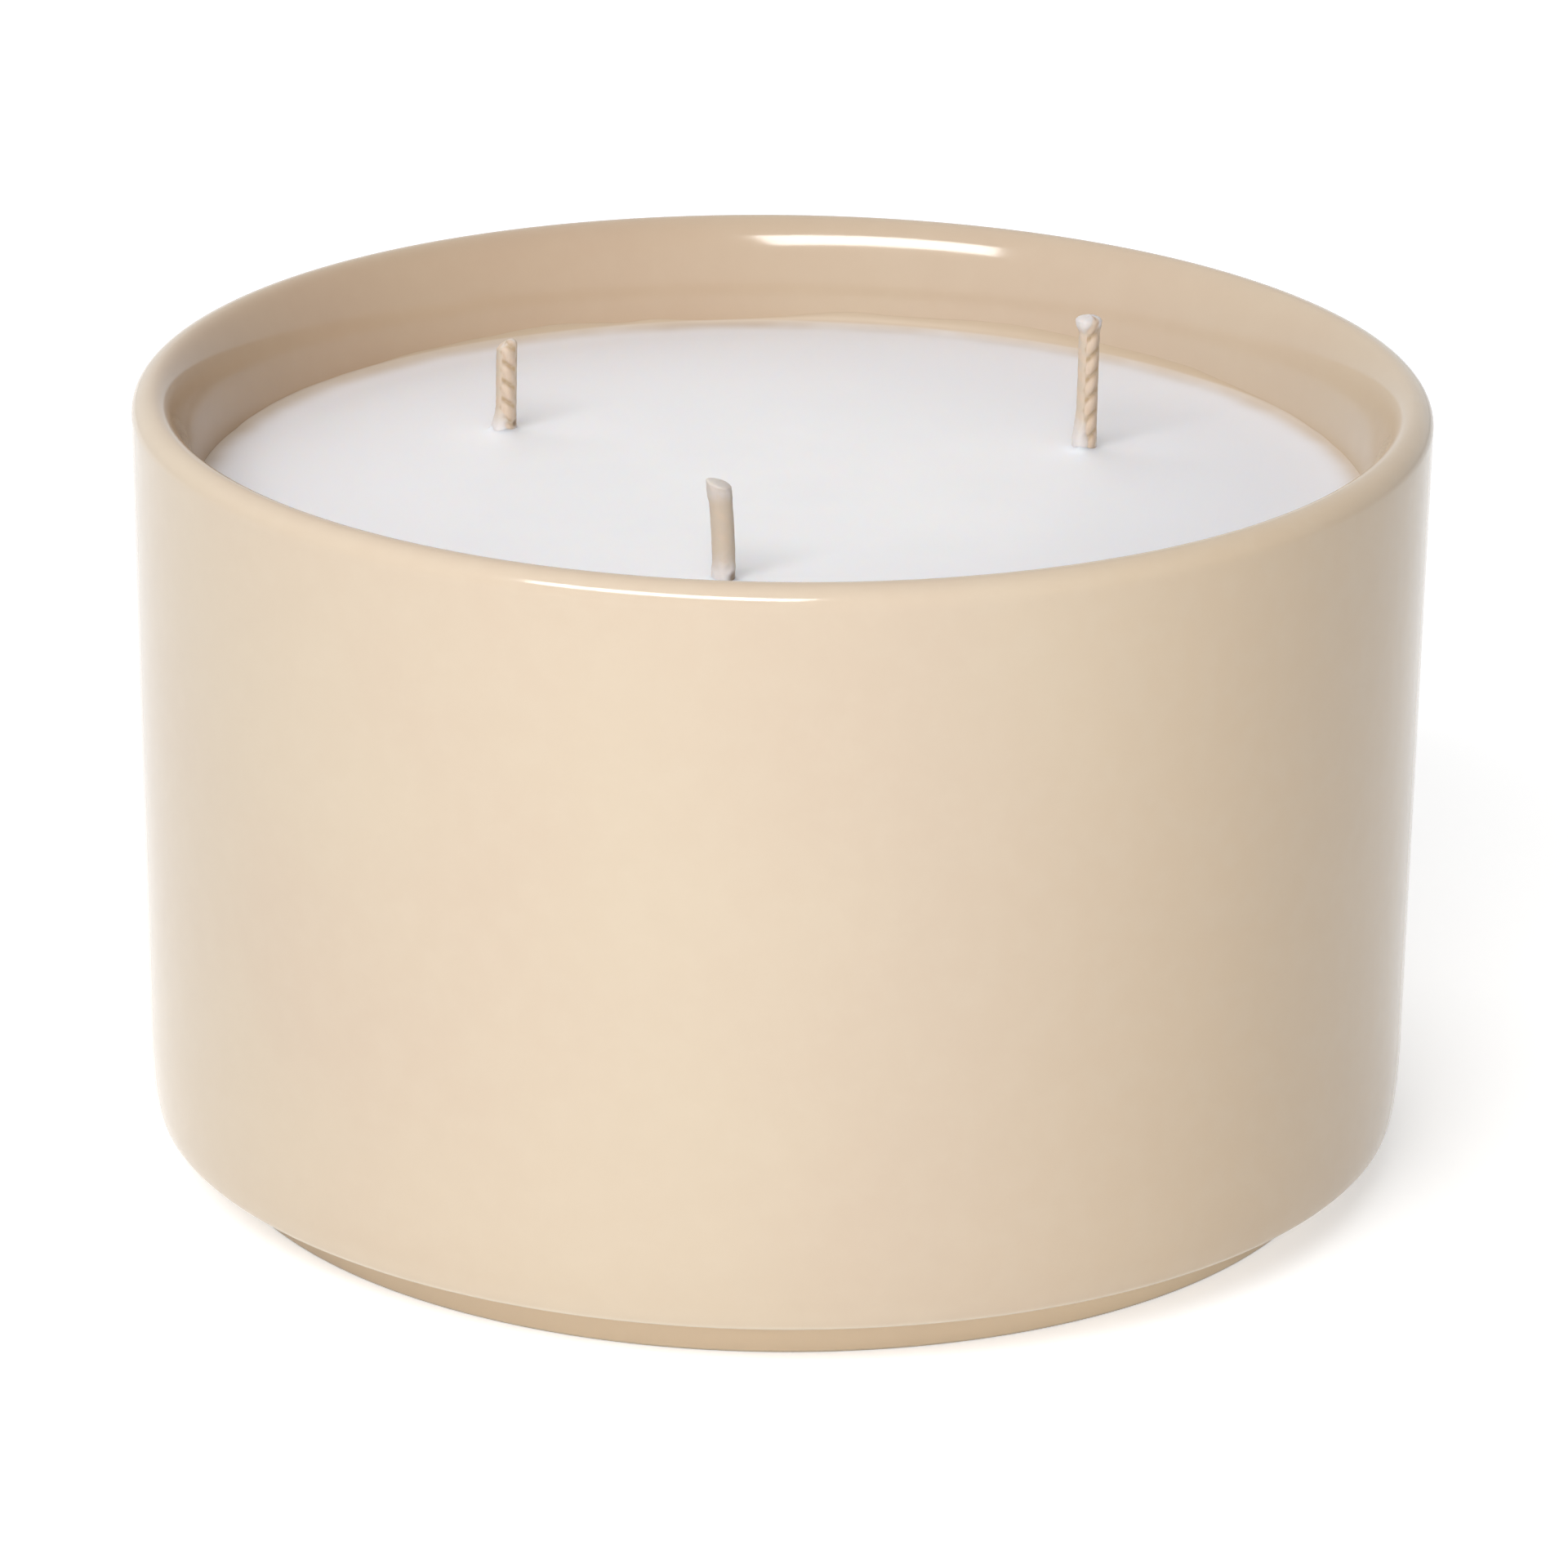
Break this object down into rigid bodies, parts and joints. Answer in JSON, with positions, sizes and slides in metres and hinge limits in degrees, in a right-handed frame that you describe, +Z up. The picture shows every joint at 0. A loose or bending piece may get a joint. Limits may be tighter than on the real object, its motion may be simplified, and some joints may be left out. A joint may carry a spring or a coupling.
{
  "type": "container candle",
  "caption": "Wide unlit candle with several upright cotton wicks, poured in a low round glazed ceramic bowl with a rounded lip and a narrower foot ring.",
  "frame": {"origin": "on the table, under the middle of the bowl's foot ring", "axes": "+Z up along the bowl's axis, -Y towards the front of the picture, +X to the right"},
  "size_m": [0.13, 0.13, 0.0833],
  "materials": {
    "bowl_glaze": "smooth warm beige glaze with a soft gloss",
    "wax": "white poured wax, satin and slightly translucent",
    "wick_cotton": "twisted natural cotton, primed with wax",
    "sustainer_tin": "tin-plated steel, stamped",
    "glue": "set hot-melt glue, cloudy"
  },
  "bodies": {
    "root": {"bowl": "bowl_glaze", "wax_fill": "wax", "wick_left": "wick_cotton", "wick_right": "wick_cotton", "wick_front": "wick_cotton", "sustainer_left": "sustainer_tin", "sustainer_right": "sustainer_tin", "sustainer_front": "sustainer_tin", "glue_dot_left": "glue", "glue_dot_right": "glue", "glue_dot_front": "glue"}
  },
  "joints": []
}
